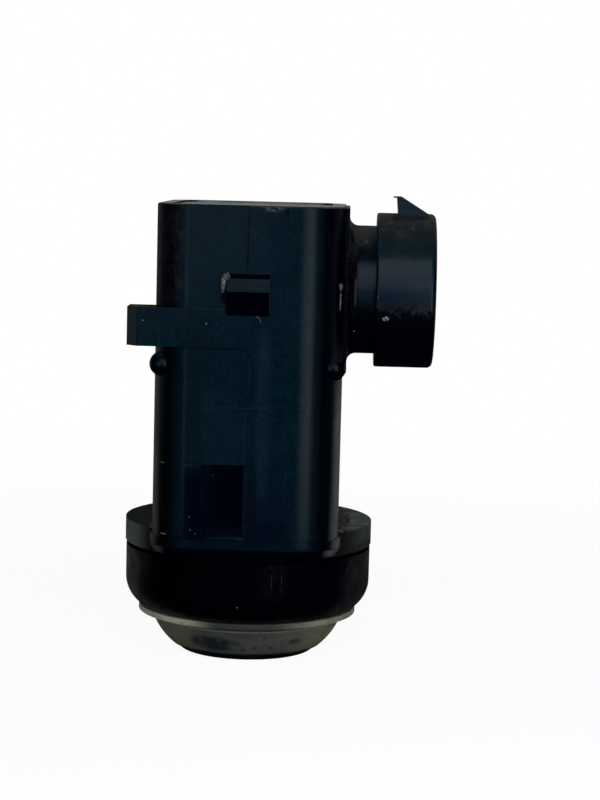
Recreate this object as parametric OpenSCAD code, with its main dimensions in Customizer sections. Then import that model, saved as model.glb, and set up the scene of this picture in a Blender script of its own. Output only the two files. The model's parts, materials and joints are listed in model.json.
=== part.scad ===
// Ultrasonic parking sensor: a moulded housing with a plug socket on its side, a sensing head
// that a retaining ring holds under it, and the electronics that the housing encloses.
// The origin is the centre of the sensing face. +Z runs up the sensing axis, +X points to
// the plug socket, and -Y is the front with the latch.

/* [Housing] */
// Height of the top rim over the sensing face
total_h = 50; // [48:0.5:56]
// Width of the box, side to side
body_w = 20.2; // [19.6:0.2:23]
// Depth of the box, front to back
body_d = 27.8; // [27.4:0.2:30]
// Radius of the box's upright corners
corner_r = 5; // [3:0.25:6]
// Wall thickness of the box
wall = 1.6; // [1.2:0.1:2]
// Chamfer round the top rim
rim_chamfer = 0.15; // [0.1:0.05:0.5]
// How far the left half of the front stands back at the parting line
parting_step = 0.15; // [0.05:0.05:0.3]

/* [Flange and lower lip] */
// Height of the flange's underside over the sensing face
head_h = 12.3; // [11.6:0.1:13]
// How far the flange stands out over the retaining ring
flange_proud = 0.1; // [0:0.05:0.3]
// Thickness of the round flange, which is also the floor of the box
flange_t = 2.5; // [2:0.1:3.2]
// How far the box's lower lip stands proud of its walls
lip_proud = 0.25; // [0.05:0.05:0.3]
// Height of the lower lip, from the flange's underside
lip_h = 2.1; // [1.8:0.1:2.4]
// Rounding under the lower lip
lip_fillet = 1.25; // [0.6:0.05:1.5]
// Diameter of the hub that carries the retaining ring
hub_d = 25.2; // [24.2:0.1:25.6]
// Diameter of the opening in the floor for the lead wires
lead_opening_d = 10; // [9:0.2:11]

/* [Retaining ring] */
// Wall thickness of the ring's skirt
ring_wall = 1.05; // [0.8:0.05:1.2]
// Height of the ring's lower face over the sensing face
ring_foot = 5.05; // [4.7:0.05:5.6]
// Open joint between the ring and the flange
joint_gap = 0.45; // [0.2:0.05:0.7]
// Thickness of the ring's inward foot
ring_lip_t = 1.5; // [1.2:0.1:1.8]
// Radius of the ring's rounded lower edge
ring_edge_r = 3.5; // [3.2:0.05:3.8]
// Height of the ring's rounded lower edge
ring_edge_h = 3.1; // [2.6:0.05:3.1]

/* [Decoupling ring] */
// Outer diameter of the sleeve inside the hub
sleeve_d = 20.8; // [20:0.1:21.4]
// Outer diameter of the visible lip
seal_lip_d = 24.4; // [23.8:0.1:24.6]
// Height of the visible lip's edge
seal_lip_h = 0.6; // [0.4:0.05:0.75]
// Diameter at the crease under the lip
crease_d = 21.3; // [20.8:0.1:21.8]
// Height of the crease over the sensing face
crease_h = 3.9; // [3.6:0.05:4]
// Diameter at the foot of the cone
cone_d = 16.7; // [16.4:0.05:17.2]
// Height of the cone's foot over the sensing face
cone_foot = 0.7; // [0.5:0.05:1]
// How far the cone's side swells out from straight
cone_bulge = 0.25; // [0.1:0.05:0.4]

/* [Membrane cup] */
// Outer diameter of the cup
cup_d = 15.6; // [15:0.1:16]
// Height of the cup
cup_h = 9; // [7.6:0.1:10]
// Side wall of the cup
cup_wall = 1.3; // [0.9:0.1:1.6]
// Thickness of the vibrating membrane
membrane_t = 0.8; // [0.6:0.05:1.2]
// Rounding of the membrane's outer edge
cup_edge_r = 0.75; // [0.2:0.05:0.8]
// Diameter of the piezo disc
piezo_d = 8; // [7.6:0.1:9]
// Thickness of the piezo disc
piezo_t = 0.4; // [0.2:0.05:0.6]
// Height of the damping pad
pad_h = 4; // [2:0.1:5]

/* [Front bar] */
// Reach of the bar's end from the sensing axis
bar_reach = 12.85; // [12.4:0.05:14.5]
// Height of the bar
bar_h = 4.1; // [3:0.1:5]
// Drop of the bar's middle below the top rim
bar_drop = 13; // [12.8:0.1:14]
// Thickness of the bar, front to back
bar_t = 4.6; // [3.6:0.1:6]
// Bevel on the bar's outer front edge
bar_bevel = 1.15; // [0.6:0.05:1.5]

/* [Front latch] */
// Width of the latch lug
lug_w = 4.5; // [3:0.1:6]
// How far the lug's crest stands out
lug_proud = 1.4; // [0.8:0.05:2]
// Drop of the lug's crest below the top rim
lug_drop = 9; // [8:0.1:9.2]
// Height of the lug's lower ramp
lug_ramp_h = 2.6; // [2:0.1:3]
// Height of the lug's upper slope
lug_back_h = 1.3; // [0.8:0.1:2]
// Height of the slot over the lug
slot_h = 0.5; // [0.3:0.05:0.8]
// Depth of the slot over the lug
slot_depth = 0.6; // [0.3:0.05:0.8]

/* [Front window] */
// Width of the polished recess beside the parting line
window_w = 4.5; // [3:0.1:4.8]
// Height of the polished recess
window_h = 7.8; // [5:0.1:10]
// Height of the recess over the lower lip
window_gap = 0.3; // [0.2:0.05:1]
// Depth of the recess
window_depth = 0.25; // [0.2:0.05:0.5]

/* [Side bumps] */
// Radius of the round bump on each side
bump_r = 1.35; // [1.1:0.05:1.6]
// Depth of each bump's centre under the round of the front corner
bump_sunk = 0.3; // [0.1:0.05:0.6]
// Angle of the bumps round the front corners, from straight ahead
bump_turn = 60; // [50:1:75]
// Drop of the bumps below the top rim
bump_drop = 17.1; // [16.8:0.1:18]

/* [Plug socket] */
// Drop of the socket's axis below the top rim
socket_drop = 9.25; // [9.1:0.05:10]
// Thickness of the raised pad on the socket side
pad_t = 0.4; // [0.2:0.05:0.6]
// Diameter of the neck
neck_d = 14.2; // [13.8:0.1:15]
// Length of the neck from the box's side
neck_l = 3.4; // [2.6:0.1:4]
// Fillet at the neck's root
neck_fillet = 1; // [0.4:0.1:1.2]
// Diameter of the collar
collar_d = 17.1; // [16.8:0.1:17.8]
// Length of the collar
collar_l = 6.5; // [6.2:0.1:8]
// Rounding of the collar's rim at the mouth
collar_edge_r = 0.6; // [0.3:0.05:0.7]
// Rounding of the collar's rim at the neck
collar_back_r = 0.25; // [0.1:0.05:0.5]
// Diameter of the bore at the mouth
mouth_d = 14.4; // [14:0.1:14.8]
// Depth of the bore at the mouth
mouth_l = 4.4; // [4:0.1:5]
// Diameter of the bore round the terminals
well_d = 11.8; // [11.4:0.1:12]
// Thickness of the socket's floor outside the box's side
socket_floor = 1; // [0.8:0.1:1.4]
// Length of the latch ramp on the collar
ramp_l = 3.5; // [2.5:0.1:4.5]
// Height of the latch ramp's tip over the collar
ramp_h = 1.85; // [1:0.05:2.2]
// Width of the latch ramp
ramp_w = 4.2; // [3:0.1:5]
// Length of the flat on the ramp's tip
ramp_tip = 0.5; // [0.3:0.05:0.8]
// Distance of the ramp's foot from the mouth
ramp_setback = 0.85; // [0.6:0.05:1.4]
// Overhang of the ramp's barbed tip
ramp_barb = 0.2; // [0.1:0.05:0.5]

/* [Terminals] */
// Spacing of the three blade terminals
terminal_pitch = 3.2; // [2.6:0.1:3.4]
// Width of a blade
blade_w = 1.5; // [1:0.1:1.8]
// Thickness of a blade
blade_t = 0.6; // [0.4:0.05:0.8]
// How far the blades' tips stand back from the mouth's step
blade_setback = 0.1; // [0.1:0.1:1]
// Length of the blade's pointed tip
blade_tip_l = 0.8; // [0.4:0.05:1.2]
// Length of the tail behind the board
blade_tail = 0.8; // [0.4:0.05:1.2]

/* [Circuit board] */
// Thickness of the board
board_t = 1; // [0.8:0.1:1.6]
// Room between the board and the socket-side wall
board_gap = 2.4; // [2:0.1:2.6]
// Room between the board's upright edges and the front and back walls
board_edge = 0.8; // [0.75:0.05:1.2]
// Thickness of a guide rail
rail_t = 0.8; // [0.6:0.1:1]
// How far a guide rail grips the board
rail_grip = 1; // [0.6:0.1:1.5]
// Depth of the potting that closes the top
potting_t = 4; // [3:0.1:4.4]
// Drop of the potting's surface below the rim
potting_drop = 0.2; // [0.1:0.05:0.6]

/* [Transformer] */
// Width of the bobbin's square flanges
bobbin_w = 7.2; // [6.8:0.1:7.6]
// Thickness of a bobbin flange
bobbin_flange_t = 0.8; // [0.6:0.1:1]
// Length between the bobbin's flanges
bobbin_l = 4.8; // [4:0.1:5.4]
// Diameter of the bobbin's barrel
barrel_d = 4.8; // [4.6:0.1:5.2]
// Diameter of the core's centre post
post_d = 3.4; // [3:0.1:3.6]
// Thickness of the winding
winding_t = 0.9; // [0.5:0.05:0.9]
// Thickness of the core's back and legs
core_t = 1.5; // [1:0.1:1.8]
// Width of the core, from the board outward
core_w = 5; // [4:0.1:6]
// Height of the transformer's middle over the board's foot
transformer_h = 15; // [14.6:0.1:16]

/* [Small components] */
// Length of the driver chip's body
chip_l = 5; // [4.4:0.1:5.2]
// Width of the driver chip's body
chip_w = 3.9; // [3.4:0.1:4.4]
// Thickness of the driver chip's body
chip_t = 1.5; // [1.2:0.1:1.8]
// Height of the driver chip's middle over the board's foot
chip_h = 5.6; // [5.5:0.1:6]
// Diameter of the buffer capacitor's can
can_d = 4; // [3.4:0.1:4.2]
// Length of the buffer capacitor
can_l = 5.4; // [4:0.1:6]
// Distance of the buffer capacitor's middle from the board's edge
can_edge = 3.5; // [3:0.1:5]
// Height of the buffer capacitor's middle over the board's foot
can_h = 21; // [20:0.1:22]
// Length of a chip resistor or chip capacitor
smd_l = 2; // [1.6:0.1:2.4]
// Width of a chip resistor or chip capacitor
smd_w = 1.25; // [0.8:0.05:1.4]
// Thickness of a chip resistor
resistor_t = 0.55; // [0.4:0.05:0.7]
// Thickness of a chip capacitor
capacitor_t = 0.9; // [0.7:0.05:1.2]
// Spacing of the chip resistors and chip capacitors up the board
smd_pitch = 3; // [2.6:0.1:3.4]
// Height of the lowest chip resistor and chip capacitor over the board's foot
smd_rise = 6; // [5:0.1:7]
// Distance of the chip resistors and chip capacitors from the middle plane
smd_y = 4.5; // [4:0.1:6]
// Diameter of a lead wire
wire_d = 0.9; // [0.6:0.05:1]
// Inner radius of the lead wires' bend
wire_bend_r = 1.2; // [0.8:0.1:1.5]
// Distance of the lead wires from the sensing axis toward the board
lead_x = 1.5; // [1:0.1:1.8]
// Distance of each lead wire from the middle plane
lead_y = 2.6; // [2:0.1:3]
// Height of the lead wires' end over the board's foot
lead_rise = 1.6; // [1.2:0.1:2]

/* [Fits] */
// Clearance between rigid pieces that fit together
fit = 0.05; // [0.02:0.01:0.08]
// Clearance round the soft pieces
soft_fit = 0.05; // [0.02:0.01:0.08]

/* [Hidden] */
$fn = 96;
cut = 1;
flange_top = head_h + flange_t;
lip_line = head_h + lip_h;
front = -body_d / 2;
side = body_w / 2;
inner_w = body_w - 2 * wall;
inner_d = body_d - 2 * wall;
inner_r = corner_r - wall;
ring_top = head_h - joint_gap;
ring_bore_r = hub_d / 2 + fit;
ring_r = ring_bore_r + ring_wall;
hub_foot = ring_foot + ring_lip_t + fit;
sleeve_bore_r = sleeve_d / 2 + soft_fit;
cup_bore_r = cup_d / 2 + soft_fit;
socket_z = total_h - socket_drop;
socket_floor_x = side + socket_floor;
collar_x = side + neck_l;
mouth_x = collar_x + collar_l;
pad_top_r = collar_d / 2;
potting_top = total_h - potting_drop;
potting_foot = potting_top - potting_t;
board_right = side - wall - board_gap;
board_left = board_right - board_t;
board_foot = flange_top + fit;
board_top = potting_foot - fit;
board_half = inner_d / 2 - board_edge;
piezo_top = membrane_t + piezo_t;
lead_end = board_foot + lead_rise;
smd_first = board_foot + smd_rise;
can_y = board_half - can_edge;
terminal_places = [-1, 0, 1];

// Rectangle with rounded corners, centred on the axis
module rounded_outline(w, d, r) {
    square([w - 2 * r, d], center = true);
    square([w, d - 2 * r], center = true);
    for (x = [-1, 1], y = [-1, 1])
        translate([x * (w / 2 - r), y * (d / 2 - r)])
            circle(r);
}

module rounded_box(w, d, r, h) {
    linear_extrude(h)
        rounded_outline(w, d, r);
}

// Sweeps a profile round a rounded rectangle: x points outward from its edge, y points up
module edge_sweep(w, d, r) {
    for (x = [-1, 1], y = [-1, 1])
        translate([x * (w / 2 - r), y * (d / 2 - r), 0])
            rotate([0, 0, atan2(y, x) - 45])
                rotate_extrude(angle = 90)
                    translate([r, 0])
                        children();
    for (turn = [0, 180]) {
        rotate([0, 0, turn])
            translate([w / 2, d / 2 - r, 0])
                rotate([90, 0, 0])
                    linear_extrude(d - 2 * r)
                        children();
        rotate([0, 0, turn + 90])
            translate([d / 2, w / 2 - r, 0])
                rotate([90, 0, 0])
                    linear_extrude(w - 2 * r)
                        children();
    }
}

// What a rounding of radius r takes off the lower outer corner at [x, y] of a profile
module corner_waste(x, y, r) {
    translate([x - r, y - cut])
        difference() {
            square([r + cut, r + cut]);
            translate([0, r + cut])
                circle(r);
        }
}

// Turns a profile of [radius, height] to lie along +X on the socket's axis
module on_socket_axis() {
    translate([0, 0, socket_z])
        rotate([0, 90, 0])
            children();
}

// Outer form of the box: lower lip, stepped front, polished recess and slot
module box_form() {
    lip_w = body_w + 2 * lip_proud;
    lip_d = body_d + 2 * lip_proud;
    lip_r = corner_r + lip_proud;
    difference() {
        translate([0, 0, head_h])
            rounded_box(lip_w, lip_d, lip_r, lip_h);
        translate([0, 0, head_h])
            edge_sweep(lip_w, lip_d, lip_r)
                corner_waste(0, 0, lip_fillet);
    }
    difference() {
        translate([0, 0, flange_top - flange_t / 2])
            rounded_box(body_w, body_d, corner_r, total_h - flange_top + flange_t / 2);
        translate([0, 0, total_h])
            edge_sweep(body_w, body_d, corner_r)
                polygon([[-rim_chamfer, 0], [0, -rim_chamfer], [cut, -rim_chamfer], [cut, cut],
                         [-rim_chamfer, cut]]);
        translate([-body_w, front - cut, lip_line])
            cube([body_w, cut + parting_step, total_h]);
        translate([-window_w, front - cut, lip_line + window_gap])
            cube([window_w, cut + parting_step + window_depth, window_h]);
        translate([-lug_w / 2, front - cut, total_h - lug_drop + lug_back_h])
            cube([lug_w, cut + slot_depth, slot_h]);
    }
}

// Bar across the left half of the front, flush with the right half, with a bevelled end
module front_bar() {
    translate([0, front, total_h - bar_drop - bar_h / 2])
        linear_extrude(bar_h)
            polygon([[0, 0], [-bar_reach + bar_bevel, 0], [-bar_reach, bar_bevel],
                     [-bar_reach, bar_t], [0, bar_t]]);
}

// Wedge on the front that snaps behind the bracket
module latch_lug() {
    crest = total_h - lug_drop;
    root = front + parting_step + wall / 2;
    translate([-lug_w / 2, 0, 0])
        rotate([90, 0, 90])
            linear_extrude(lug_w)
                polygon([[root, crest - lug_ramp_h], [front, crest - lug_ramp_h],
                         [front - lug_proud, crest], [front, crest + lug_back_h],
                         [root, crest + lug_back_h]]);
}

// Domes on the rounds of the two front corners
module side_bumps() {
    reach = corner_r - bump_sunk;
    for (x = [-1, 1])
        translate([x * (side - corner_r + reach * sin(bump_turn)),
                   front + corner_r - reach * cos(bump_turn), total_h - bump_drop])
            sphere(bump_r);
}

// Neck and collar of the plug socket, with the raised pad that they stand on
module socket_form() {
    pad_w = body_d - 2 * corner_r;
    pad_h_total = socket_drop + pad_top_r;
    translate([side - wall / 2, -pad_w / 2, total_h - pad_h_total])
        cube([wall / 2 + pad_t, pad_w, pad_h_total - rim_chamfer]);
    on_socket_axis()
        rotate_extrude() {
            translate([0, side - wall / 2])
                square([neck_d / 2, neck_l + wall]);
            difference() {
                translate([0, side])
                    square([neck_d / 2 + neck_fillet, pad_t + neck_fillet]);
                translate([neck_d / 2 + neck_fillet, side + pad_t + neck_fillet])
                    circle(neck_fillet);
            }
            difference() {
                translate([0, collar_x])
                    square([collar_d / 2, collar_l]);
                corner_waste(collar_d / 2, collar_x, collar_back_r);
                mirror([0, 1])
                    corner_waste(collar_d / 2, -mouth_x, collar_edge_r);
            }
        }
    latch_ramp();
}

// Ramp on the collar, with a barbed tip toward the housing
module latch_ramp() {
    foot = mouth_x - ramp_setback;
    crown = socket_z + collar_d / 2;
    root = crown - (collar_d - mouth_d) / 4;
    translate([0, ramp_w / 2, 0])
        rotate([90, 0, 0])
            linear_extrude(ramp_w)
                polygon([[foot, root], [foot, crown], [foot - ramp_l + ramp_tip, crown + ramp_h],
                         [foot - ramp_l, crown + ramp_h], [foot - ramp_l + ramp_barb, root]]);
}

// Round flange and the hub under it
module head_form() {
    translate([0, 0, head_h])
        cylinder(r = ring_r + flange_proud, h = flange_t);
    translate([0, 0, hub_foot])
        cylinder(d = hub_d, h = head_h - hub_foot + flange_t / 2);
}

// Rails that hold the board's upright edges
module board_rails() {
    rail_from = board_half - rail_grip;
    rail_out = inner_d / 2 + wall / 4;
    for (y = [-1, 1], x = [board_left - fit - rail_t, board_right + fit])
        translate([x, y > 0 ? rail_from : -rail_out, flange_top - flange_t / 2])
            cube([rail_t, rail_out - rail_from, board_top - flange_top + flange_t / 2]);
}

// Section of the terminals along the socket's axis, with a clearance all round
module terminal_slots(from, to, clear) {
    for (place = terminal_places)
        translate([from, place * terminal_pitch - blade_w / 2 - clear, socket_z - blade_t / 2 - clear])
            cube([to - from, blade_w + 2 * clear, blade_t + 2 * clear]);
}

module housing() {
    color([0.08, 0.11, 0.13])
        difference() {
            union() {
                difference() {
                    union() {
                        box_form();
                        front_bar();
                        latch_lug();
                        side_bumps();
                        head_form();
                        socket_form();
                    }
                    translate([0, 0, flange_top])
                        rounded_box(inner_w, inner_d, inner_r, total_h);
                }
                board_rails();
            }
            translate([0, 0, hub_foot - cut])
                cylinder(r = sleeve_bore_r, h = head_h - hub_foot + cut);
            translate([0, 0, head_h - cut])
                cylinder(d = lead_opening_d, h = flange_t + 2 * cut);
            on_socket_axis() {
                translate([0, 0, socket_floor_x])
                    cylinder(d = well_d, h = mouth_x - socket_floor_x + cut);
                translate([0, 0, mouth_x - mouth_l])
                    cylinder(d = mouth_d, h = mouth_l + cut);
            }
            terminal_slots(board_right, socket_floor_x + cut, fit);
        }
}

module retaining_ring() {
    round_z = ring_foot + ring_edge_h;
    color([0.02, 0.02, 0.03])
        rotate_extrude()
            difference() {
                union() {
                    translate([0, round_z])
                        square([ring_r, ring_top - round_z]);
                    intersection() {
                        translate([0, ring_foot])
                            square([ring_r, ring_edge_h]);
                        union() {
                            square([ring_r - ring_edge_r, round_z]);
                            translate([ring_r - ring_edge_r, round_z])
                                circle(ring_edge_r);
                        }
                    }
                }
                translate([0, ring_foot + ring_lip_t])
                    square([ring_bore_r, ring_top]);
                square([sleeve_bore_r, ring_top]);
            }
}

module decoupling_ring() {
    lip_top = ring_foot - soft_fit;
    cone_run = (crease_d - cone_d) / 2;
    cone_rise = crease_h - cone_foot;
    chord = norm([cone_run, cone_rise]);
    swell_r = (chord * chord / 4 + cone_bulge * cone_bulge) / (2 * cone_bulge);
    color([0.62, 0.61, 0.55])
        rotate_extrude() {
            polygon([[cup_bore_r, cone_foot], [cone_d / 2, cone_foot], [crease_d / 2, crease_h],
                     [seal_lip_d / 2, lip_top - seal_lip_h], [seal_lip_d / 2, lip_top],
                     [sleeve_d / 2, lip_top], [sleeve_d / 2, head_h - soft_fit],
                     [lead_opening_d / 2, head_h - soft_fit], [lead_opening_d / 2, cup_h + soft_fit],
                     [cup_bore_r, cup_h + soft_fit]]);
            translate([cone_d / 2, cone_foot])
                rotate(atan2(cone_rise, cone_run))
                    intersection() {
                        translate([0, -cone_bulge])
                            square([chord, 2 * cone_bulge]);
                        translate([chord / 2, swell_r - cone_bulge])
                            circle(swell_r);
                    }
        }
}

module membrane_cup() {
    color([0.05, 0.05, 0.06])
        rotate_extrude()
            difference() {
                square([cup_d / 2, cup_h]);
                translate([0, membrane_t])
                    square([cup_d / 2 - cup_wall, cup_h]);
                corner_waste(cup_d / 2, 0, cup_edge_r);
            }
}

module piezo_disc() {
    color([0.80, 0.74, 0.60])
        translate([0, 0, membrane_t])
            cylinder(d = piezo_d, h = piezo_t);
}

module damping_pad() {
    color([0.45, 0.45, 0.47])
        difference() {
            translate([0, 0, piezo_top])
                cylinder(r = cup_d / 2 - cup_wall - soft_fit, h = pad_h);
            for (y = [-1, 1])
                translate([lead_x, y * lead_y, piezo_top - cut])
                    cylinder(r = wire_d / 2 + soft_fit, h = pad_h + 2 * cut);
        }
}

// Lead from the piezo disc straight up and round a bend to the board
module lead_wire(y) {
    axis_r = wire_bend_r + wire_d / 2;
    translate([lead_x, y, piezo_top])
        cylinder(d = wire_d, h = lead_end - axis_r - piezo_top);
    translate([lead_x + axis_r, y, lead_end - axis_r])
        rotate([90, 0, 0])
            rotate([0, 0, 90])
                rotate_extrude(angle = 90)
                    translate([axis_r, 0])
                        circle(d = wire_d);
    translate([lead_x + axis_r, y, lead_end])
        rotate([0, 90, 0])
            cylinder(d = wire_d, h = board_left - lead_x - axis_r);
}

module lead_wire_front() {
    color([0.75, 0.15, 0.12])
        lead_wire(-lead_y);
}

module lead_wire_rear() {
    color([0.85, 0.85, 0.82])
        lead_wire(lead_y);
}

module circuit_board() {
    color([0.10, 0.30, 0.16])
        difference() {
            translate([board_left, -board_half, board_foot])
                cube([board_t, 2 * board_half, board_top - board_foot]);
            terminal_slots(board_left - cut, board_right + cut, fit);
        }
}

// Places a piece at the transformer's middle, with its flanges against the board
module at_transformer() {
    translate([board_left - bobbin_w / 2, 0, board_foot + transformer_h])
        children();
}

module transformer_bobbin() {
    bobbin_h = bobbin_l + 2 * bobbin_flange_t;
    color([0.20, 0.20, 0.22])
        at_transformer()
            difference() {
                union() {
                    for (z = [-bobbin_h / 2, bobbin_l / 2])
                        translate([-bobbin_w / 2, -bobbin_w / 2, z])
                            cube([bobbin_w, bobbin_w, bobbin_flange_t]);
                    cylinder(d = barrel_d, h = bobbin_l + bobbin_flange_t, center = true);
                }
                cylinder(d = post_d + 2 * fit, h = bobbin_h + 2 * cut, center = true);
            }
}

module transformer_winding() {
    color([0.72, 0.40, 0.18])
        at_transformer()
            difference() {
                cylinder(d = barrel_d + 2 * winding_t + 2 * fit, h = bobbin_l - 2 * fit, center = true);
                cylinder(d = barrel_d + 2 * fit, h = bobbin_l + cut, center = true);
            }
}

// One half of the ferrite core: back, two legs and half of the centre post
module core_half() {
    back_z = bobbin_l / 2 + bobbin_flange_t + fit;
    leg_y = bobbin_w / 2 + fit;
    translate([-core_w / 2, -leg_y - core_t, back_z])
        cube([core_w, 2 * (leg_y + core_t), core_t]);
    for (y = [-leg_y - core_t, leg_y])
        translate([-core_w / 2, y, 0])
            cube([core_w, core_t, back_z + core_t / 2]);
    translate([0, 0, fit])
        cylinder(d = post_d, h = back_z);
}

module transformer_core_upper() {
    color([0.25, 0.25, 0.27])
        at_transformer()
            core_half();
}

module transformer_core_lower() {
    color([0.25, 0.25, 0.27])
        at_transformer()
            rotate([180, 0, 0])
                core_half();
}

// Eight-lead chip on the board, its leads bent down to the pads
module driver_chip() {
    lead_w = 0.4;
    lead_t = 0.2;
    lead_out = 1;
    lead_pitch = 1.27;
    standoff = 0.1;
    color([0.07, 0.07, 0.08])
        translate([board_left, 0, board_foot + chip_h]) {
            translate([-standoff - chip_t, -chip_w / 2, -chip_l / 2])
                cube([chip_t, chip_w, chip_l]);
            for (y = [-1, 1], place = [-1.5:1:1.5])
                translate([0, 0, place * lead_pitch - lead_w / 2])
                    mirror([0, y > 0 ? 0 : 1, 0]) {
                        translate([-standoff - chip_t / 2, chip_w / 2 - lead_t, 0])
                            cube([lead_t, lead_out / 2 + lead_t, lead_w]);
                        translate([-standoff - chip_t / 2, chip_w / 2 + lead_out / 2 - lead_t, 0])
                            cube([standoff + chip_t / 2, lead_t, lead_w]);
                        translate([-lead_t, chip_w / 2 + lead_out / 2 - lead_t, 0])
                            cube([lead_t, lead_out / 2 + lead_t, lead_w]);
                    }
        }
}

// Can capacitor on a square base, standing out from the board
module buffer_capacitor() {
    base_t = 0.8;
    base_over = 0.1;
    base_w = can_d + 2 * base_over;
    color([0.70, 0.71, 0.73])
        translate([board_left, can_y, board_foot + can_h]) {
            translate([-base_t, -base_w / 2, -base_w / 2])
                cube([base_t, base_w, base_w]);
            rotate([0, -90, 0])
                cylinder(d = can_d, h = can_l);
        }
}

// Block component on the socket side of the board, with a metal cap at each end
module block_component(y, place, thick) {
    cap_l = smd_l / 5;
    cap_over = 0.04;
    translate([board_right, y, smd_first + place * smd_pitch]) {
        translate([0, -smd_l / 2, -smd_w / 2 + cap_over])
            cube([thick - cap_over, smd_l, smd_w - 2 * cap_over]);
        for (end = [-smd_l / 2, smd_l / 2 - cap_l])
            translate([0, end, -smd_w / 2])
                cube([thick, cap_l, smd_w]);
    }
}

module chip_capacitor(place) {
    color([0.66, 0.52, 0.36])
        block_component(smd_y, place, capacitor_t);
}

module chip_resistor(place) {
    color([0.12, 0.12, 0.13])
        block_component(-smd_y, place, resistor_t);
}

// Flat blade with a pointed tip in the socket and a tail through the board
module terminal(place) {
    tail_x = board_left - blade_tail;
    tip_x = mouth_x - mouth_l - blade_setback;
    half = blade_w / 2;
    color([0.78, 0.77, 0.73])
        translate([0, place * terminal_pitch, socket_z - blade_t / 2])
            linear_extrude(blade_t)
                polygon([[tail_x, -half], [tip_x - blade_tip_l, -half], [tip_x, -half / 2],
                         [tip_x, half / 2], [tip_x - blade_tip_l, half], [tail_x, half]]);
}

module potting_fill() {
    color([0.10, 0.10, 0.11])
        translate([0, 0, potting_foot])
            rounded_box(inner_w - 2 * soft_fit, inner_d - 2 * soft_fit, inner_r - soft_fit, potting_t);
}

housing();
retaining_ring();
decoupling_ring();
membrane_cup();
piezo_disc();
damping_pad();
lead_wire_front();
lead_wire_rear();
circuit_board();
transformer_bobbin();
transformer_winding();
transformer_core_upper();
transformer_core_lower();
driver_chip();
buffer_capacitor();
chip_capacitor(0);  // chip_capacitor_1
chip_capacitor(1);  // chip_capacitor_2
chip_capacitor(2);  // chip_capacitor_3
chip_resistor(0);  // chip_resistor_1
chip_resistor(1);  // chip_resistor_2
chip_resistor(2);  // chip_resistor_3
terminal(terminal_places[0]);  // terminal_1
terminal(terminal_places[1]);  // terminal_2
terminal(terminal_places[2]);  // terminal_3
potting_fill();
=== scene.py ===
import json
import math

import bpy
from mathutils import Matrix, Vector

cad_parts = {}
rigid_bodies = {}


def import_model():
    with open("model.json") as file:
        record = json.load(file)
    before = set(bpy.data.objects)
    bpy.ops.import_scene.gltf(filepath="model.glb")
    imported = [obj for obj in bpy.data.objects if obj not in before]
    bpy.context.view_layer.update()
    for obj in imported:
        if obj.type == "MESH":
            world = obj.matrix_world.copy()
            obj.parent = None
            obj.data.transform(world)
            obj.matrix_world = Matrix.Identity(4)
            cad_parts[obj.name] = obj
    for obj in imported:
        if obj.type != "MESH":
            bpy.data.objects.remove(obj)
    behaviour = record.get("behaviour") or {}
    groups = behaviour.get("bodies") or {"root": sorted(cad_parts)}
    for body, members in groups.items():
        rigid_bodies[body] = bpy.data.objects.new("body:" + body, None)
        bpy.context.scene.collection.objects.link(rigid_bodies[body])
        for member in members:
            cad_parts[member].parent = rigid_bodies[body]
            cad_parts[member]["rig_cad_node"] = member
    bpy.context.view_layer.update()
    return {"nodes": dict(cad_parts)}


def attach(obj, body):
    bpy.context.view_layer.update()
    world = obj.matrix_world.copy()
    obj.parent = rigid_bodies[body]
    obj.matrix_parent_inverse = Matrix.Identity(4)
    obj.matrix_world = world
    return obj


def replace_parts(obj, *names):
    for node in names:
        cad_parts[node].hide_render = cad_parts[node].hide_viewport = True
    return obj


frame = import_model()

# Housing: one moulding of black filled plastic, with the box, the flange, the hub, the front bar, the
# latch lug and the plug socket. The mould leaves small radii on its edges, faint drag marks up its
# sides and a parting line down the front. Road dust and dirt have settled on it.


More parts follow.
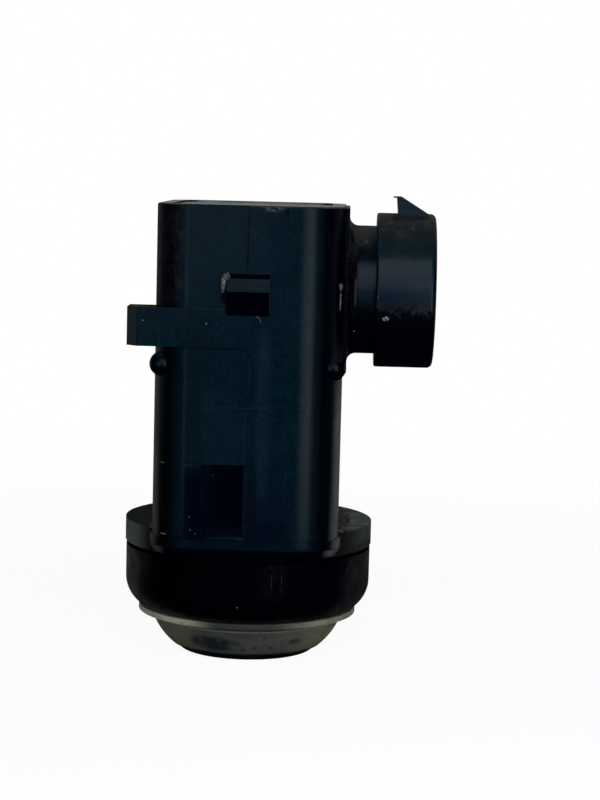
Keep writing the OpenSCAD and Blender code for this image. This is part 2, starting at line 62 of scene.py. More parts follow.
class Shade:
    """A socket of a material's nodes. Sums and products of it add Math nodes."""

    def __init__(self, tree, socket=None):
        self.tree = tree
        self.socket = socket

    def node(self, kind, settings=None, inputs=None, output=0):
        """Adds a node with those settings and sockets, and gives one of its outputs or several."""
        made = self.tree.nodes.new(kind)
        for name, value in (settings or {}).items():
            setattr(made, name, value)
        for name, value in (inputs or {}).items():
            if isinstance(value, Shade):
                self.tree.links.new(value.socket, made.inputs[name])
            else:
                made.inputs[name].default_value = value
        if isinstance(output, tuple):
            return [Shade(self.tree, made.outputs[o]) for o in output]
        return Shade(self.tree, made.outputs[output])

    def math(self, operation, first, second):
        return self.node("ShaderNodeMath", {"operation": operation}, {0: first, 1: second})

    def __add__(self, other):
        return self.math("ADD", self, other)

    __radd__ = __add__

    def __sub__(self, other):
        return self.math("SUBTRACT", self, other)

    def __rsub__(self, other):
        return self.math("SUBTRACT", other, self)

    def __mul__(self, other):
        return self.math("MULTIPLY", self, other)

    __rmul__ = __mul__

    def __or__(self, other):
        return self.math("MAXIMUM", self, other)

    def size(self):
        """This value without its sign."""
        return self.math("ABSOLUTE", self, 0.0)

    def line(self, at, half):
        """A soft-edged line: 1 close to that value, 0 from that half width on."""
        return (self - at).size().rise(half, 0.4 * half)

    def rise(self, low, high):
        """0 below low, 1 above high, smooth between; low may be the larger one."""
        return self.node("ShaderNodeMapRange", {"interpolation_type": "SMOOTHSTEP"},
                         {"Value": self, "From Min": low, "From Max": high})

    def parts(self):
        """The three parts of a vector."""
        return self.node("ShaderNodeSeparateXYZ", None, {0: self}, (0, 1, 2))

    def noise(self, size, detail=3.0, stretch=(1, 1, 1)):
        """Noise whose grain is about that size, in the vector's own unit."""
        spread = self.node("ShaderNodeMapping", None, {"Vector": self, "Scale": [1 / s for s in stretch]})
        return self.node("ShaderNodeTexNoise", None,
                         {"Vector": spread, "Scale": 1 / size, "Detail": detail, "Roughness": 0.6}, "Fac")

    def mark(self, centre, reach, turn=(0, 0, 0)):
        """A soft-edged ellipsoid of that half size, turned in degrees: 1 inside, 0 outside."""
        local = self.node("ShaderNodeMapping", {"vector_type": "TEXTURE"},
                          {"Vector": self, "Location": centre, "Rotation": [math.radians(a) for a in turn],
                           "Scale": reach})
        away = self.node("ShaderNodeVectorMath", {"operation": "LENGTH"}, {0: local}, "Value")
        return away.rise(1.0, 0.5)

    def marks(self, places):
        """All of several such ellipsoids, given as centre and half size."""
        found = self.mark(*places[0])
        for centre, reach in places[1:]:
            found = found | self.mark(centre, reach)
        return found

    def specks(self, spacing, size, share):
        """Small round specks of that radius, in a share of the cells of that spacing."""
        away, hue = self.node("ShaderNodeTexVoronoi", None, {"Vector": self, "Scale": 1 / spacing},
                              ("Distance", "Color"))
        radius = size / spacing
        chosen = hue.parts()[0].rise(1 - share, 1.01 - share)
        return away.rise(radius, 0.5 * radius) * chosen

    def blend(self, first, second):
        """Mixes two colours by this value."""
        return self.node("ShaderNodeMix", {"data_type": "RGBA"}, {0: self, 6: first, 7: second}, 2)


def begin_finish(name):
    """A bare material and the surface's place on the object, in millimetres."""
    material = bpy.data.materials.new(name)
    material.use_nodes = True
    material.node_tree.nodes.clear()
    pen = Shade(material.node_tree)
    place = pen.node("ShaderNodeTexCoord", None, None, "Object")
    return material, pen.node("ShaderNodeVectorMath", {"operation": "SCALE"}, {0: place, "Scale": 1000.0})


def end_finish(place, relief, depth, sockets):
    """Principled shader with those sockets, and a bump of that depth in metres."""
    normal = place.node("ShaderNodeBump", None, {"Height": relief, "Distance": depth, "Strength": 1.0})
    shader = place.node("ShaderNodeBsdfPrincipled", None, dict(sockets, Normal=normal))
    place.node("ShaderNodeOutputMaterial", None, {"Surface": shader}, ())


def facing(place):
    """How far the surface faces +X, +Y and +Z."""
    return place.node("ShaderNodeNewGeometry", None, None, "Normal").parts()


def softened_copy(node, name, edge):
    """Welds a copy of a CAD node's triangles and rounds its sharp edges by that width in metres."""
    same_point = 1e-6
    same_plane = math.radians(0.5)
    sharp = math.radians(28)
    bpy.ops.object.select_all(action="DESELECT")
    source = frame["nodes"][node]
    source.select_set(True)
    bpy.context.view_layer.objects.active = source
    bpy.ops.object.duplicate()
    piece = bpy.context.active_object
    piece.name = name
    del piece["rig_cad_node"]
    bpy.ops.object.mode_set(mode="EDIT")
    bpy.ops.mesh.select_all(action="SELECT")
    bpy.ops.mesh.customdata_custom_splitnormals_clear()
    bpy.ops.mesh.remove_doubles(threshold=same_point)
    bpy.ops.mesh.dissolve_limited(angle_limit=same_plane)
    bpy.ops.object.mode_set(mode="OBJECT")
    soft = piece.modifiers.new("soft_edges", "BEVEL")
    soft.width = edge
    soft.segments = 2
    soft.limit_method = "ANGLE"
    soft.angle_limit = sharp
    bpy.ops.object.modifier_apply(modifier=soft.name)
    bpy.ops.object.shade_smooth_by_angle(angle=sharp)
    flat = piece.modifiers.new("flat_faces", "WEIGHTED_NORMAL")
    flat.keep_sharp = True
    bpy.ops.object.modifier_apply(modifier=flat.name)
    piece.data.materials.clear()
    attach(piece, "root")
    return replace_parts(piece, node)


housing = softened_copy("housing", "housing_moulding", edge=0.00008)
finish, place = begin_finish("black_moulded_plastic")
x, y, z = place.parts()
east, north, up = facing(place)
ahead = north.rise(-0.9, -0.97)

# Places of its forms, in millimetres; flange_square is the square of the flange's radius.
front_face = -13.9
lip_line = 14.4
flange_top = 14.8
flange_square = 190.4
window_middle = -2.25
window_top = 22.6
bar_middle = 37.0
neck_root = 10.5
collar_back = 13.5
box_top = 50.0

# The painted sheen, standing in for the front light's reflection on the skin, is patchy and blue-grey,
# drawn out along the mould's pull. It is palest high on the front and in a streak down the middle, and a
# band on the left is darker.
deep_blue = (0.0001, 0.003, 0.0062, 1)
soft_blue = (0.0004, 0.0042, 0.0077, 1)
drawn_blue = (0.001, 0.0062, 0.0102, 1)
grain_light = (0.0004, 0.0082, 0.0128, 1)
grain_dark = (0.0, 0.0014, 0.0042, 1)
blotch_dark = (0.0001, 0.0018, 0.0055, 1)
drag = place.noise(0.5, 4, (1, 1, 14))
cloud = place.noise(6, 3)
grain = place.noise(0.27, 3)
blotch = place.noise(1.5, 5).rise(0.46, 0.62)
painted_sheen = cloud.rise(0.3, 0.7).blend(deep_blue, soft_blue)
painted_sheen = drag.rise(0.5, 0.75).blend(painted_sheen, drawn_blue)
painted_sheen = (0.55 * grain.rise(0.42, 0.62)).blend(painted_sheen, grain_light)
painted_sheen = (0.5 * grain.rise(0.48, 0.3)).blend(painted_sheen, grain_dark)
painted_sheen = (0.4 * blotch).blend(painted_sheen, blotch_dark)

left_dark = (0.0001, 0.0014, 0.0045, 1)
left_band = x.line(-5.8, 1.4) * z.rise(36, 33)
painted_sheen = (0.25 * left_band).blend(painted_sheen, left_dark)

high_grey = (0.0045, 0.0098, 0.0155, 1)
high = z.rise(33, 47) * x.rise(5.5, -2)
painted_sheen = (0.42 * high).blend(painted_sheen, high_grey)

streak_grey = (0.0045, 0.0105, 0.0165, 1)
streak = (x - 1.8).size().rise(1.2, 0.1) * z.rise(38.5, 35) * z.rise(15.5, 22) * (0.55 + 0.45 * blotch)
painted_sheen = (0.5 * streak).blend(painted_sheen, streak_grey)

# The painted sheen is darker low on the front: right of the window, in soot on its left, and in painted
# shade along its edge and over the lip.
low_dark = (0.0001, 0.0014, 0.0058, 1)
low = z.rise(23, 15.5) * x.rise(-1, 0.5) * x.rise(6, 4)
painted_sheen = (0.6 * low).blend(painted_sheen, low_dark)

soot = (0.0, 0.0005, 0.0028, 1)
sooty = z.rise(23.6, 20.6) * (x + 5.2).size().rise(1.9, 0.5) * north.rise(-0.8, -0.9)
painted_sheen = (0.93 * sooty).blend(painted_sheen, soot)

shade = (0.0001, 0.0012, 0.004, 1)
shaded = (x - 0.75).size().rise(0.75, 0.4) * z.rise(24, 21)
shaded = shaded | place.mark((2.8, front_face, 15.7), (2.6, 0.5, 1.1))
painted_sheen = (0.55 * shaded).blend(painted_sheen, shade)

# A slightly paler panel stands over the window. The painted sheen is a deeper blue on the lip and the
# socket's neck.
panel_blue = (0.004, 0.012, 0.018, 1)
panel = ahead * z.rise(window_top - 0.2, window_top) * z.rise(31.2, 30.6) * (x + 2.3).size().rise(2.5, 2.3)
painted_sheen = (0.08 * panel).blend(painted_sheen, panel_blue)

lip_blue = (0.0005, 0.0028, 0.0068, 1)
painted_sheen = z.rise(lip_line + 0.2, lip_line - 0.1).blend(painted_sheen, lip_blue)

neck_blue = (0.0002, 0.0028, 0.0068, 1)
neck = x.line(11.8, 2.4) * north.rise(-0.2, -0.5)
painted_sheen = (0.6 * neck).blend(painted_sheen, neck_blue)

# The painted sheen lies on the flat walls. The rounded corners, tops and undersides are plain black.
plain_black = (0.0001, 0.0004, 0.0014, 1)
not_under = up.rise(-0.14, -0.02) * z.rise(12.7, 13.4)
side = east.size() * (x.rise(9.5, 9) | y.rise(-10.5, -5.5) | z.rise(33, 27))
flat = (side | north.size() * (x - neck_root).size().rise(0.8, 1)).rise(0.8, 0.97) * not_under
flat = flat | up.rise(0.6, 0.8) * z.line(lip_line, 0.1) * x.size().rise(7, 7.6)
plastic = flat.blend(plain_black, painted_sheen)

# A streaked painted highlight on the latch lug's upward slope, a painted reflection on the bevelled end of
# the bar, and the scored side of the latch ramp.
slope_highlight = (0.005, 0.0155, 0.025, 1)
combed = place.noise(0.22, 2, (9, 1, 1)).rise(0.45, 0.6)
slope = up.rise(0.3, 0.6) * north.rise(-0.4, -0.6) * y.rise(front_face + 0.3, front_face + 0.1)
slope = slope * (0.55 + 0.45 * (z.rise(41.9, 42.2) | combed))
plastic = slope.blend(plastic, slope_highlight)

bevel_reflection = (0.0105, 0.0128, 0.0145, 1)
bevel = x.rise(-11.5, -11.8) * north.rise(-0.4, -0.6) * east.rise(-0.4, -0.6)
plastic = bevel.blend(plastic, bevel_reflection)

ramp_dark = (0.002, 0.0028, 0.0045, 1)
ramp_light = (0.0115, 0.014, 0.0165, 1)
ramp_side = x.rise(collar_back + 0.5, collar_back + 1) * z.rise(49.1, 49.3) * ahead
ramp_scores = place.noise(0.22, 3, (7, 1, 1)).rise(0.35, 0.6)
plastic = ramp_side.blend(plastic, ramp_scores.blend(ramp_dark, ramp_light))

# Painted shade darkens the window's floor, its left edge and the slot over the lug.
recess_shade = (0.0, 0.0004, 0.0022, 1)
recess = y.rise(front_face + 0.2, front_face + 0.3) * y.rise(front_face + 0.8, front_face + 0.7)
recess = recess * (x - window_middle).size().rise(2.36, 2.3) * z.rise(23, window_top)
recess = recess * (0.75 + 0.25 * x.rise(-4.5, -3)) * (0.7 + 0.3 * z.rise(14.8, 16.2))
lug_slot = y.rise(front_face + 0.16, front_face + 0.2) * y.rise(0, -1)
lug_slot = lug_slot * z.rise(42.25, 42.3) * z.rise(42.9, 42.85) * x.size().rise(2.4, 2.3)
window_edge = x.line(-4.5, 0.2) * y.rise(front_face + 0.6, front_face + 0.5)
window_edge = window_edge * z.rise(window_top, window_top - 0.15) * z.rise(lip_line + 0.1, lip_line + 0.4)
recess = recess | lug_slot | window_edge
plastic = recess.blend(plastic, recess_shade)

# Dust lies thin on what faces up, and dries grey on the flange, where the right of its top is palest.
dust_grey = (0.01, 0.0115, 0.012, 1)
dust = up.rise(0.35, 0.9) * z.rise(30, 34) * (0.3 + 0.7 * cloud.rise(0.3, 0.65))
plastic = (dust * 0.8).blend(plastic, dust_grey)

# Painted light and shade: the flange's side is lighter on the left than on the right, and darker next to the
# box.
rim_dust_lit_left = (0.09, 0.095, 0.092, 1)
rim_right = (0.0165, 0.017, 0.0165, 1)
rim_contact_shade = (0.0035, 0.0038, 0.0038, 1)
rim_top_dark = (0.006, 0.0078, 0.0095, 1)
rim_top_pale = (0.12, 0.123, 0.116, 1)
score_grey = (0.01, 0.0105, 0.0105, 1)
rim = z.rise(flange_top + 0.15, flange_top) * x.size().rise(10.3, 10.6)
rim_edge = (x * x + y * y).line(flange_square, 1.2) * x.size().rise(9.6, 10.1)
rim = rim | rim_edge * z.rise(flange_top + 0.05, flange_top)
rim_side = x.rise(-10, 10).blend(rim_dust_lit_left, rim_right)
rim_side = x.size().rise(10.0, 13.9).blend(rim_contact_shade, rim_side)
scored = place.noise(0.35, 3, (5, 1, 1)).rise(0.4, 0.7)
rim_top = x.rise(6, 10).blend(rim_top_dark, rim_top_pale)
rim_top = (0.35 * scored).blend(rim_top, score_grey)
plastic = rim.blend(plastic, up.rise(0.4, 0.8).blend(rim_side, rim_top))

# It also greys the side and back walls, the foot of the box, its rim and the inner wall over the resin.
# On the side and back walls the grey is dust, and on the sides it is also a painted sheen.
wall_dust_and_sheen = (0.04, 0.0445, 0.047, 1)
walls = (0.7 * east.size() | 0.6 * north).rise(0.3, 0.68) * not_under * (0.4 + 0.6 * cloud.rise(0.3, 0.7))
walls = walls * flat * (0.75 + 0.25 * drag.rise(0.4, 0.65))
plastic = (0.85 * walls).blend(plastic, wall_dust_and_sheen)

# At the foot of the box the grey is dust and also painted light on its rounded lower corners, brighter on the
# right.
foot_dust_and_light_left = (0.03, 0.0315, 0.0315, 1)
foot_dust_and_light_right = (0.045, 0.046, 0.0445, 1)
foot = east.size().rise(0.76, 0.97) * z.rise(24, lip_line + 0.2)
foot = foot | east.rise(0.8, 0.98) * z.rise(36, 28) * y.rise(-6, -9)
foot = foot | up.rise(0.5, 0.8) * z.line(lip_line, 0.12) * x.size().rise(8.4, 9.6)
foot = foot | up.rise(-0.05, -0.3) * up.rise(-0.95, -0.8) * x.size().rise(8.3, 9.4) * z.rise(lip_line, 13.6)
plastic = (0.85 * foot * (1 - rim)).blend(plastic, x.rise(-8, 8).blend(foot_dust_and_light_left, foot_dust_and_light_right))

edge_grey = (0.035, 0.036, 0.033, 1)
edge = z.rise(box_top - 0.18, box_top - 0.12) * up.line(0.7, 0.25)
plastic = (edge * (0.3 + 0.7 * scored)).blend(plastic, edge_grey)

inner_dust = (0.2, 0.2, 0.195, 1)
inner_wall = z.rise(box_top - 1.5, box_top - 1.3) * y.rise(11, 12) * north.rise(-0.3, -0.7)
plastic = (inner_wall * (0.6 + 0.4 * cloud.rise(0.4, 0.6))).blend(plastic, inner_dust)

# Dirt sticks to the upper left corner, black at the corner and brown beside it, and to the neck's root.
corner_soil = (0.0042, 0.0042, 0.005, 1)
brown_soil = (0.0135, 0.0122, 0.0122, 1)
mottle = place.noise(0.42, 6).rise(0.36, 0.7)
smear = place.noise(1.3, 8).rise(0.44, 0.58)
dirt = place.mark((-9.4, -11, 45.5), (4.2, 7, 10)) | 0.8 * place.mark((10.6, -6, 44.8), (1.2, 2.5, 2.2))
soil = x.rise(-8.4, -7.2).blend(corner_soil, brown_soil)
plastic = (0.8 * dirt * (0.4 * mottle + 0.6 * smear)).blend(plastic, soil)

# The socket has a film of dust on top, mud spatter and damp on the collar, and grime and crust in corners.
film_grey = (0.0235, 0.027, 0.029, 1)
settled = 0.3 + 0.3 * mottle + 0.5 * place.noise(2.2, 3).rise(0.35, 0.6)
film = x.rise(neck_root - 0.1, neck_root + 0.7) * up.rise(0.6, 0.92) * settled
plastic = (film * 0.85).blend(plastic, film_grey)

mud = (0.0075, 0.009, 0.0115, 1)
patchy = place.noise(1.1, 3).rise(0.4, 0.6)
ragged = (place.noise(0.5, 7) + 0.14 * (z - 39.0)).rise(0.4, 0.66)
spatter = ragged * x.rise(collar_back - 1, collar_back) * z.rise(36.9, 38) * z.rise(40.4, 39.4)
spatter = spatter * (0.4 + 0.6 * patchy) * north.rise(-0.6, -0.9)
plastic = spatter.blend(plastic, mud)

# Painted sheen: the front of the socket's neck and collar is bluer.
socket_sheen = (0.0004, 0.0052, 0.0125, 1)
socket_front = x.rise(neck_root + 0.9, neck_root + 1.4) * z.rise(38.8, 40.6) * north.rise(-0.7, -0.92)
plastic = (0.7 * socket_front).blend(plastic, socket_sheen)

damp_grey = (0.0055, 0.0122, 0.0155, 1)
damp = x.rise(collar_back - 0.2, collar_back + 0.1) * up.rise(0.2, 0.45) * up.rise(0.92, 0.7)
damp = damp * north.rise(-0.2, -0.5)
plastic = (0.75 * damp * (0.6 + 0.4 * patchy)).blend(plastic, damp_grey)

grime_brown = (0.014, 0.0135, 0.0125, 1)
grime = place.noise(0.2, 5).rise(0.5, 0.6) * (x - 10.8).size().rise(0.8, 0.4) * north.rise(-0.2, -0.5)
grime = grime * (0.25 + 0.75 * patchy)
plastic = (0.4 * grime * z.rise(36, 40)).blend(plastic, grime_brown)

crust_brown = (0.021, 0.02, 0.0185, 1)
crust = place.marks([((15.6, -4.6, 47.6), (2.6, 2.5, 1.5)), ((11.9, -4.2, 46.6), (1.2, 2, 1.2))])
plastic = (0.7 * crust * patchy).blend(plastic, crust_brown)

# Fine raised lines are left by the mould: over the window, beside it and down the front. On the bar's top
# the line is a painted highlight along its edge.
line_grey = (0.02, 0.03, 0.04, 1)
broken = place.noise(0.7, 3).rise(0.4, 0.6)
seams_and_bar_highlight = (z - 0.03 * x).line(28.65, 0.07) * (x + 0.9).size().rise(3.6, 3.2)
seams_and_bar_highlight = seams_and_bar_highlight | z.line(window_top - 0.2, 0.08) * x.line(-6.9, 2.6)
seams_and_bar_highlight = seams_and_bar_highlight | 1.4 * x.line(-0.08, 0.08) * z.rise(29, 27) * z.rise(lip_line, lip_line + 0.4)
seams_and_bar_highlight = seams_and_bar_highlight | 1.6 * z.line(bar_middle + 2.07, 0.07) * (x + 6.2).size().rise(4, 3.8)
plastic = (0.22 * ahead * seams_and_bar_highlight * (0.3 + 0.7 * broken)).blend(plastic, line_grey)

# A hair crack runs up from the lug, and a dark line runs down the bar's bevel. Painted shadow lies under
# the bar and left of the lug, beside the flash that curls off it. Dark gaps lie at a nick in the box's rim
# and along a gouge in the flange.
gap_and_shadow_black = (0.0, 0.0006, 0.002, 1)
wander = x + 0.5 * place.noise(2.5, 2)
cracks_and_dark_lines = wander.line(0.12, 0.07) * z.rise(43, 43.4) * z.rise(49.3, 48.9) * place.noise(1.6, 2).rise(0.4, 0.45)
cracks_and_dark_lines = cracks_and_dark_lines | z.line(bar_middle - 2.14, 0.1) * (x + 5.8).size().rise(5.8, 5)
cracks_and_dark_lines = cracks_and_dark_lines | x.line(-11.62, 0.1) * z.line(bar_middle, 2.6)
gaps_and_shadows = place.marks([((-2.38, -13.8, 41.6), (0.3, 0.5, 1.3)), ((-2.45, -13.8, 40.4), (0.45, 0.5, 0.9)),
                    ((3.95, -13.9, 49.3), (0.3, 0.4, 0.4)), ((10.85, -8.9, 14.9), (0.25, 3.5, 0.3))])
plastic = (0.85 * (cracks_and_dark_lines * ahead | gaps_and_shadows)).blend(plastic, gap_and_shadow_black)

# Rubbed places on the corners, a painted highlight on the right front corner beside the socket, a scuff on
# the box's rim, and dry specks of dust.
rub_and_glint_grey = (0.12, 0.125, 0.125, 1)
rubs_and_glint = place.marks([((9.72, -10.8, 41.6), (0.26, 1.4, 0.42)), ((9.7, -10.8, 40.2), (0.1, 1.4, 1.5)),
                      ((14.6, -8.1, 38.1), (0.45, 0.5, 0.32)), ((-8.6, -12.5, 14.75), (0.5, 0.9, 0.1)),
                      ((-8.9, -12.2, 22.4), (0.55, 0.9, 0.07))])
rubs_and_glint = rubs_and_glint * place.noise(0.25, 3).rise(0.4, 0.55)
plastic = rubs_and_glint.blend(plastic, rub_and_glint_grey)

scuff_grey = (0.04, 0.043, 0.045, 1)
scuff = place.mark((2.4, front_face, box_top), (1.7, 0.6, 0.75)) * place.noise(0.5, 4).rise(0.42, 0.52)
plastic = (0.6 * scuff).blend(plastic, scuff_grey)

dry_dust = (0.15, 0.155, 0.15, 1)
fleck_reach = (0.12, 0.3, 0.11)
fleck_places = [(-11.05, -13.9, 37.67), (-4.34, -13.9, 37.5), (-7.05, -13.8, 34.2),
                (-5.75, -13.8, 16.85), (-5.65, -13.8, 15.45), (-5.1, -13.8, 15.05), (14.85, -4.0, 48.3),
                (17.35, -4.95, 47.75), (12.35, -4.55, 46.2), (13.7, -8.55, 40.4), (11.25, -5.7, 36.5)]
flecks = place.marks([(centre, fleck_reach) for centre in fleck_places]) * z.rise(5, 30)
flecks = flecks | 0.5 * place.specks(1.3, 0.05, 0.2) | 0.5 * place.specks(3.1, 0.07, 0.1)
plastic = (0.42 * flecks).blend(plastic, dry_dust)

# The skin is faintly glossy, more so on the socket and the box's rim, and dull under dust, soot and dirt.
gloss = 0.085 - 0.03 * drag + 0.07 * x.rise(neck_root + 0.5, neck_root + 1.5)
gloss = gloss * up.rise(-0.5, -0.15) * (1 - 0.8 * (dust | rim))
gloss = gloss * (0.4 + 0.6 * z.rise(lip_line - 0.1, lip_line + 0.1))
gloss = gloss * (1 - 0.7 * (recess | sooty | dirt)) * (1 - 0.4 * north.rise(-0.95, -0.9995)) + 0.004
gloss = gloss | 0.3 * up.rise(0.9, 0.97) * z.rise(box_top - 0.2, box_top - 0.1)
end_finish(place, 0.5 * grain + 0.5 * drag, 0.00001, {
    "Base Color": plastic, "Roughness": 0.6, "Specular IOR Level": 0.0, "Coat Weight": gloss,
    "Coat Roughness": 0.24})
housing.data.materials.append(finish)

# Flash: thin slivers of the housing's own plastic. One curls off the latch lug's upper corner, one hangs
# under the lug, and one stands off the tip of the plug's latch ramp. A melted bead lies on the flange.
sliver, place = begin_finish("stressed_plastic")
sliver_dark = (0.012, 0.015, 0.018, 1)
sliver_pale = (0.09, 0.095, 0.095, 1)
stress = place.noise(0.3, 3).rise(0.35, 0.65)
end_finish(place, place.noise(0.1, 2), 0.00001, {
    "Base Color": stress.blend(sliver_dark, sliver_pale), "Roughness": 0.6, "Specular IOR Level": 0.0})


def begin_flash(name):
    """Names a new primitive, puts its place in its mesh and selects all of it in edit mode."""
    piece = bpy.context.active_object
    piece.name = name
    bpy.ops.object.transform_apply(location=True, rotation=True, scale=True)
    bpy.ops.object.mode_set(mode="EDIT")
    bpy.ops.mesh.select_all(action="SELECT")
    return piece


def curled_flash(name, sides, thickness, start, centre, steps, turn):
    """Spins a small disc from its start about a centre, and leaves the far end selected."""
    bpy.ops.object.select_all(action="DESELECT")
    bpy.ops.mesh.primitive_circle_add(vertices=sides, radius=thickness, fill_type="NGON", location=start,
                                      rotation=(0, math.pi / 2, 0))
    piece = begin_flash(name)
    bpy.ops.mesh.spin(steps=steps, angle=math.radians(turn), center=centre, axis=(0, 1, 0))
    return piece


def end_flash(piece, jitter, seed):
    """Roughens a sliver, rounds it off and attaches it to the housing's body."""
    bpy.ops.mesh.select_all(action="SELECT")
    bpy.ops.transform.vertex_random(offset=jitter, uniform=1.0, normal=0.0, seed=seed)
    bpy.ops.mesh.remove_doubles(threshold=1e-6)
    bpy.ops.mesh.normals_make_consistent(inside=False)
    bpy.ops.object.mode_set(mode="OBJECT")
    rounding = piece.modifiers.new("rounding", "SUBSURF")
    rounding.levels = 1
    rounding.render_levels = 1
    bpy.ops.object.modifier_apply(modifier=rounding.name)
    bpy.ops.object.shade_smooth()
    piece.data.materials.append(sliver)
    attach(piece, "root")


lug_flash = curled_flash("lug_flash", sides=8, thickness=0.00036, start=(-0.00195, -0.01395, 0.04267),
                         centre=(-0.00195, -0.01395, 0.042), steps=7, turn=90)
bpy.ops.mesh.extrude_region_move(TRANSFORM_OT_translate={"value": (-0.00008, 0.0001, -0.0006)})
bpy.ops.mesh.extrude_region_move(TRANSFORM_OT_translate={"value": (0.00002, 0.0001, -0.00065)})
bpy.ops.transform.resize(value=(0.5, 0.5, 0.5))
end_flash(lug_flash, jitter=0.00014, seed=3)

lug_whisker = curled_flash("lug_whisker", sides=6, thickness=0.00007, start=(0.0009, -0.0141, 0.03835),
                           centre=(0.0009, -0.0141, 0.0379), steps=6, turn=-110)
bpy.ops.transform.resize(value=(0.4, 0.4, 0.4))
end_flash(lug_whisker, jitter=0.00002, seed=5)

bpy.ops.object.select_all(action="DESELECT")
bpy.ops.mesh.primitive_cube_add(size=1, location=(0.01558, 0, 0.05109), scale=(0.0006, 0.0038, 0.00014))
ramp_flash = begin_flash("ramp_flash")
bpy.ops.mesh.subdivide(number_cuts=5)
end_flash(ramp_flash, jitter=0.00006, seed=7)

bpy.ops.object.select_all(action="DESELECT")
bpy.ops.mesh.primitive_ico_sphere_add(subdivisions=3, radius=1, location=(0.0101, -0.0004, 0.0148),
                                      scale=(0.0013, 0.0084, 0.00016))
flange_bead = begin_flash("flange_bead")
end_flash(flange_bead, jitter=0.0002, seed=11)
bead, place = begin_finish("melted_plastic")
bead_dark = (0.012, 0.0125, 0.0125, 1)
bead_pale = (0.075, 0.076, 0.072, 1)
pool = place.noise(0.9, 3).rise(0.3, 0.7)
end_finish(place, place.noise(0.4, 3), 0.00004, {
    "Base Color": pool.blend(bead_dark, bead_pale), "Roughness": 0.6, "Specular IOR Level": 0.0})
flange_bead.data.materials[0] = bead

# Retaining ring: a matte black moulded ring that snaps over the hub, flush with the flange. Dust has
# dried on its sides, painted lighter on the left than on the right, and its front is scored and smudged.
ring = softened_copy("retaining_ring", "retaining_ring_moulding", edge=0.00008)
finish, place = begin_finish("matte_ring_plastic")
x, _, z = place.parts()
_, north, up = facing(place)
ring_black = (0.0001, 0.0002, 0.0009, 1)
ring_dust_lit_left = (0.065, 0.067, 0.066, 1)
ring_dust_right = (0.024, 0.025, 0.0245, 1)
cloud = place.noise(3, 4)
film = north.rise(-0.72, -0.15) * up.rise(0.5, 0.2) * (0.45 + 0.55 * cloud.rise(0.4, 0.65))
black = film.blend(ring_black, x.rise(-8, 8).blend(ring_dust_lit_left, ring_dust_right))

scratch_grey = (0.05, 0.055, 0.06, 1)
scores = (x.line(3.15, 0.07) | x.line(4.2, 0.06)) * z.rise(8.2, 9) * north.rise(-0.5, -0.9)
scores = scores | place.mark((11.5, -7.4, 11.0), (0.12, 1.6, 1.3), (0, 30, 0))
black = (0.18 * scores * place.noise(0.4, 2).rise(0.4, 0.6)).blend(black, scratch_grey)

smudge_blue = (0.0018, 0.0024, 0.0052, 1)
smudge = place.mark((3.3, -13.3, 9.6), (2.4, 1.2, 3.2)) * place.noise(0.25, 4, (1, 1, 5)).rise(0.42, 0.7)
black = (0.5 * smudge).blend(black, smudge_blue)

fleck_grey = (0.12, 0.12, 0.115, 1)
flecks = place.mark((-0.46, -13.7, 7.12), (0.16, 0.3, 0.15)) | 0.5 * place.specks(1.5, 0.06, 0.12)
black = (0.6 * flecks).blend(black, fleck_grey)
end_finish(place, place.noise(0.2, 3), 0.00002, {
    "Base Color": black, "Roughness": 0.6, "Specular IOR Level": 0.0, "Coat Weight": 0.012,
    "Coat Roughness": 0.4})
ring.data.materials.append(finish)

# Decoupling ring: soft translucent silicone, cast round the sensing cup. It keeps the cup's vibration
# away from the housing, and its lip seals against the bumper. It is painted lighter and warmer towards
# the sides, where the light falls.
silicone = softened_copy("decoupling_ring", "decoupling_ring_casting", edge=0.00006)
finish, place = begin_finish("translucent_silicone")
x, _, z = place.parts()
crease_height = 3.8
lip = z.rise(crease_height, 4.05)
cone_grey = (0.033, 0.035, 0.031, 1)
cone_pale = (0.056, 0.056, 0.046, 1)
lip_grey = (0.021, 0.0225, 0.0205, 1)
# Painted light: lighter, warmer colours towards the sides, and lightest on the left of the lip.
cone_side_lit = (0.098, 0.09, 0.06, 1)
lip_side_lit = (0.14, 0.134, 0.105, 1)
lip_left_lit = (0.25, 0.238, 0.18, 1)
milk = (0.45 * place.noise(2.5, 4).rise(0.3, 0.7)).blend(cone_grey, cone_pale)
milk = lip.blend(milk, lip_grey)
milk = x.size().rise(3, 9.5).blend(milk, lip.blend(cone_side_lit, lip_side_lit))
milk = (lip * x.rise(-2.5, -8.5)).blend(milk, lip_left_lit)

stain = (0.018, 0.018, 0.0155, 1)
# A painted highlight runs along the crease at the lip's lower edge.
crease_highlight = (0.13, 0.13, 0.112, 1)
milk = (0.4 * place.noise(0.9, 4).rise(0.48, 0.7)).blend(milk, stain)
milk = (0.6 * z.line(crease_height, 0.14)).blend(milk, crease_highlight)

# The dark cup is painted in where it shows through at the front, the lowest edge is black, and dirt lies
# in spots.
cup_blue = (0.003, 0.0062, 0.0095, 1)
seen_through = place.mark((-3.2, -9.0, 2.15), (4, 2.6, 1.25))
milk = (0.9 * seen_through * place.noise(1.6, 4).rise(0.3, 0.5)).blend(milk, cup_blue)
foot_black = (0.002, 0.0022, 0.0025, 1)
milk = z.rise(1.05, 0.85).blend(milk, foot_black)

